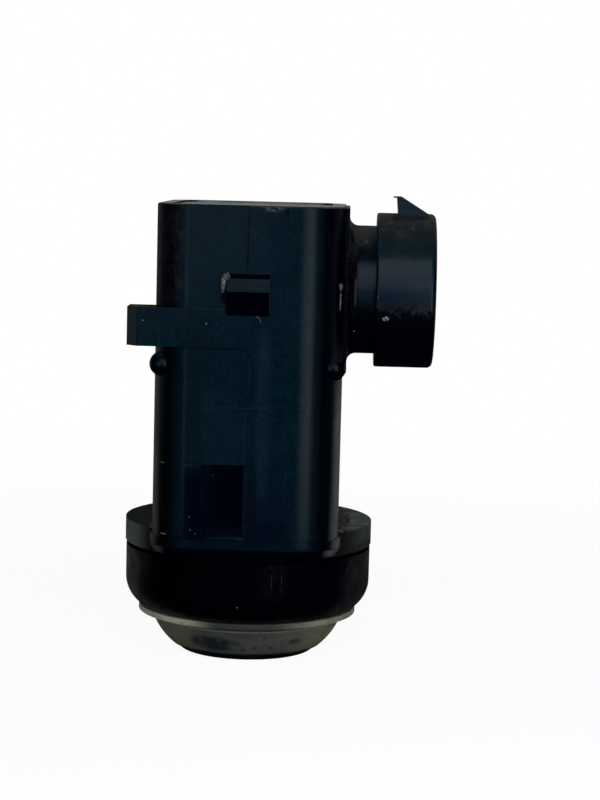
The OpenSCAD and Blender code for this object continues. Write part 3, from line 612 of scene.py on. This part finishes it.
spot_dark = (0.006, 0.007, 0.007, 1)
spots = place.marks([((0.1, -9.2, 1.5), (0.4, 0.8, 0.35)), ((1.4, -9.3, 1.85), (0.35, 0.8, 0.3)),
                     ((2.4, -9.5, 3.1), (0.3, 0.8, 0.3)), ((3.1, -8.8, 1.8), (0.4, 0.8, 0.3)),
                     ((5.5, -7.8, 2.5), (1.1, 1.2, 0.55))])
milk = (0.7 * spots).blend(milk, spot_dark)
speck_pale = (0.16, 0.16, 0.145, 1)
milk = place.specks(1.4, 0.08, 0.2).blend(milk, speck_pale)
end_finish(place, place.noise(0.3, 3), 0.00002, {
    "Base Color": milk, "Roughness": 0.5, "Specular IOR Level": 0.05, "Subsurface Weight": 0.4,
    "Subsurface Radius": (1.0, 0.95, 0.8), "Subsurface Scale": 0.0008})
silicone.data.materials.append(finish)

# Membrane cup: a drawn aluminium cup, lacquered black outside. Its floor is the sensing membrane, which
# lies flush with the bumper, and the silicone grips its wall.
cup = softened_copy("membrane_cup", "membrane_cup_drawing", edge=0.00005)
finish, place = begin_finish("black_lacquer")
lacquer_black = (0.0008, 0.001, 0.0013, 1)
lacquer_dull = (0.003, 0.003, 0.0032, 1)
lacquer = place.noise(2, 3).rise(0.4, 0.7).blend(lacquer_black, lacquer_dull)
end_finish(place, place.noise(0.15, 3), 0.00001, {
    "Base Color": lacquer, "Roughness": 0.5, "Specular IOR Level": 0.0, "Coat Weight": 0.06,
    "Coat Roughness": 0.3})
cup.data.materials.append(finish)

# Piezo disc and damping pad: a fired ceramic disc bonded to the membrane, which drives and hears it,
# with a pad of grey foam that stops sound from leaving upward.


def mottled(name, low, high, size, roughness, metallic=0.0, stretch=(1, 1, 1)):
    """A finish that wanders between two colours, over patches of that size in millimetres."""
    made, spot = begin_finish(name)
    grain = spot.noise(size / 6, 2, stretch)
    end_finish(spot, grain, 0.00001, {
        "Base Color": spot.noise(size, 3, stretch).rise(0.35, 0.65).blend(low, high),
        "Roughness": roughness + 0.15 * grain, "Metallic": metallic})
    return made


def dress(made, *nodes):
    """Gives pieces of the CAD their finish."""
    for node in nodes:
        for holder in frame["nodes"][node].material_slots:
            holder.material = made


ceramic = mottled("fired_ceramic", (0.42, 0.36, 0.24, 1), (0.52, 0.46, 0.33, 1), 1.5, roughness=0.45)
foam = mottled("open_foam", (0.06, 0.06, 0.065, 1), (0.13, 0.13, 0.135, 1), 0.3, roughness=0.9)
dress(ceramic, "piezo_disc")
dress(foam, "damping_pad")

# Lead wires: two thin stranded leads in red and white insulation. They are soldered to the disc and run
# up through the housing's floor to the board.
red_sleeve = mottled("red_insulation", (0.3, 0.012, 0.01, 1), (0.36, 0.02, 0.016, 1), 2.0, roughness=0.35)
white_sleeve = mottled("white_insulation", (0.5, 0.5, 0.46, 1), (0.6, 0.6, 0.57, 1), 2.0, roughness=0.35)
dress(red_sleeve, "lead_wire_front")
dress(white_sleeve, "lead_wire_rear")

# Circuit board: glass fibre laminate under green solder mask, with the weave showing faintly through.
# It stands upright in two pairs of rails inside the box.
green_mask = mottled("solder_mask", (0.004, 0.034, 0.012, 1), (0.007, 0.055, 0.02, 1), 0.5, roughness=0.25,
                     stretch=(1, 6, 1))
dress(green_mask, "circuit_board")

# Transformer: enamelled copper wire wound on a moulded bobbin, between two sintered ferrite halves. It
# is soldered to the board and raises the voltage for the piezo disc.
bobbin = mottled("bobbin_moulding", (0.006, 0.006, 0.007, 1), (0.012, 0.012, 0.013, 1), 1.0, roughness=0.5)
copper = mottled("enamelled_copper", (0.34, 0.09, 0.03, 1), (0.5, 0.17, 0.06, 1), 0.2, roughness=0.3,
                 metallic=1.0, stretch=(8, 8, 1))
ferrite = mottled("sintered_ferrite", (0.012, 0.012, 0.013, 1), (0.025, 0.025, 0.027, 1), 0.4, roughness=0.55)
dress(bobbin, "transformer_bobbin")
dress(copper, "transformer_winding")
dress(ferrite, "transformer_core_upper", "transformer_core_lower")

# Small components: a moulded driver chip, a buffer capacitor in an aluminium can, three chip capacitors of
# fired ceramic and three chip resistors under dark glaze, all soldered to the board.
moulding = mottled("chip_moulding", (0.004, 0.004, 0.0045, 1), (0.009, 0.009, 0.01, 1), 0.4, roughness=0.6)
can = mottled("satin_can", (0.55, 0.56, 0.58, 1), (0.66, 0.67, 0.69, 1), 0.6, roughness=0.3,
              metallic=1.0, stretch=(6, 6, 1))
block = mottled("capacitor_block", (0.2, 0.12, 0.05, 1), (0.26, 0.16, 0.075, 1), 0.5, roughness=0.45)
glaze = mottled("resistor_glaze", (0.004, 0.004, 0.005, 1), (0.01, 0.01, 0.012, 1), 0.5, roughness=0.3)
dress(moulding, "driver_chip")
dress(can, "buffer_capacitor")
dress(block, "chip_capacitor_1", "chip_capacitor_2", "chip_capacitor_3")
dress(glaze, "chip_resistor_1", "chip_resistor_2", "chip_resistor_3")

# Terminals: three flat blades stamped from brass strip and tinned. They run from the board through the
# housing's side into the plug socket.
tinned = mottled("tinned_brass", (0.46, 0.45, 0.41, 1), (0.6, 0.59, 0.55, 1), 0.8, roughness=0.3,
                 metallic=1.0, stretch=(6, 1, 1))
dress(tinned, "terminal_1", "terminal_2", "terminal_3")

# Potting: dark casting resin that closes the open top of the box, level just under its rim. Dust has
# made its surface dull.
potting = softened_copy("potting_fill", "potting_cast", edge=0.00005)
finish, place = begin_finish("cast_resin")
resin_dark = (0.012, 0.013, 0.014, 1)
resin_dusty = (0.03, 0.03, 0.029, 1)
swell = place.noise(5, 3)
end_finish(place, swell, 0.0001, {
    "Base Color": swell.rise(0.35, 0.7).blend(resin_dark, resin_dusty), "Roughness": 0.45 + 0.2 * swell,
    "Specular IOR Level": 0.2})
potting.data.materials.append(finish)

# Floor and light: a sheet of pale paper, a bright wall behind it, a soft box over the camera and a
# standing soft box on each side of it. The room on the camera's side is dim.
sheet_size = 6.0
paper_grey = (0.6, 0.6, 0.6, 1)
bright = (1, 1, 1, 1)
dim_floor = (0.08, 0.09, 0.1, 1)
bpy.ops.object.select_all(action="DESELECT")
bpy.ops.mesh.primitive_grid_add(x_subdivisions=8, y_subdivisions=8, size=sheet_size, location=(0, 0, 0))
floor = bpy.context.active_object
floor.name = "floor_sheet"
paper = bpy.data.materials.new("pale_paper")
paper.use_nodes = True
paper.node_tree.nodes.clear()
pen = Shade(paper.node_tree)
camera_ray, glossy_ray, through_ray = pen.node(
    "ShaderNodeLightPath", None, None, ("Is Camera Ray", "Is Glossy Ray", "Is Transmission Ray"))
lit = pen.node("ShaderNodeBsdfDiffuse", None, {"Color": paper_grey})
spot = pen.node("ShaderNodeTexCoord", None, None, "Object")
far = pen.node("ShaderNodeVectorMath", {"operation": "LENGTH"}, {0: spot}, "Value").rise(0.03, 0.2)
near_camera = glossy_ray * spot.parts()[1].rise(0.12, 0.0)
glow = pen.node("ShaderNodeEmission", None, {"Color": near_camera.blend(bright, dim_floor), "Strength": 1.0})
seen = (camera_ray | glossy_ray | through_ray) * (0.95 + 0.05 * far)
sheet = pen.node("ShaderNodeMixShader", None, {0: seen, 1: lit, 2: glow})
pen.node("ShaderNodeOutputMaterial", None, {"Surface": sheet}, ())
floor.data.materials.append(paper)

world = bpy.data.worlds.new("room")
bpy.context.scene.world = world
world.use_nodes = True
world.node_tree.nodes.clear()
pen = Shade(world.node_tree)
dim_room = (0.05, 0.06, 0.075, 1)
camera_ray, through_ray = pen.node(
    "ShaderNodeLightPath", None, None, ("Is Camera Ray", "Is Transmission Ray"))
behind = pen.node("ShaderNodeTexCoord", None, None, "Generated").parts()[1]
white = behind.rise(0.2, 0.65) | camera_ray | through_ray
air = pen.node("ShaderNodeBackground", None, {"Color": white.blend(dim_room, bright), "Strength": 1.0})
pen.node("ShaderNodeOutputWorld", None, {"Surface": air}, ())


def soft_box(name, bearing, distance, height, width, tall, radiance):
    """An area lamp at that bearing to the right of the camera's side, aimed at the object's middle."""
    aim = Vector((0, 0, 0.03))
    cool_white = (0.93, 0.97, 1.0)
    lamp = bpy.data.lights.new(name, "AREA")
    lamp.shape = "RECTANGLE"
    lamp.size = width
    lamp.size_y = tall
    lamp.energy = radiance * math.pi * width * tall
    lamp.color = cool_white
    holder = bpy.data.objects.new(name, lamp)
    bpy.context.scene.collection.objects.link(holder)
    turn = math.radians(bearing)
    holder.location = (distance * math.sin(turn), -distance * math.cos(turn), height)
    holder.visible_camera = False
    holder.rotation_mode = "QUATERNION"
    holder.rotation_quaternion = (aim - holder.location).to_track_quat("-Z", "Y")


soft_box("over_camera", bearing=3, distance=0.22, height=0.15, width=0.1, tall=0.2, radiance=4.1)
soft_box("right_stand", bearing=27, distance=0.104, height=0.036, width=0.046, tall=0.072, radiance=7.6)
soft_box("left_stand", bearing=-22.5, distance=0.115, height=0.036, width=0.042, tall=0.072, radiance=3.4)

# Camera: level with the top of the part and a little to its right, as the photograph was taken. It looks
# slightly down, and is rolled by a little over a degree.
focal_pixels = 2154.7
frame_height_pixels = 800
sensor_size = 36
camera_place = (0.01015, -0.240, 0.05423)
camera_bearing = 1.124
camera_dip = 6.196
camera_roll = 1.442
camera = bpy.data.objects.new("camera", bpy.data.cameras.new("camera"))
bpy.context.scene.collection.objects.link(camera)
camera.data.lens = focal_pixels / frame_height_pixels * sensor_size
camera.data.sensor_width = sensor_size
camera.data.clip_start = 0.01
camera.matrix_world = (Matrix.Translation(camera_place)
                       @ Matrix.Rotation(math.radians(camera_bearing), 4, "Z")
                       @ Matrix.Rotation(math.radians(90 - camera_dip), 4, "X")
                       @ Matrix.Rotation(math.radians(camera_roll), 4, "Z"))
bpy.context.scene.camera = camera
bpy.context.scene.view_settings.view_transform = "Standard"
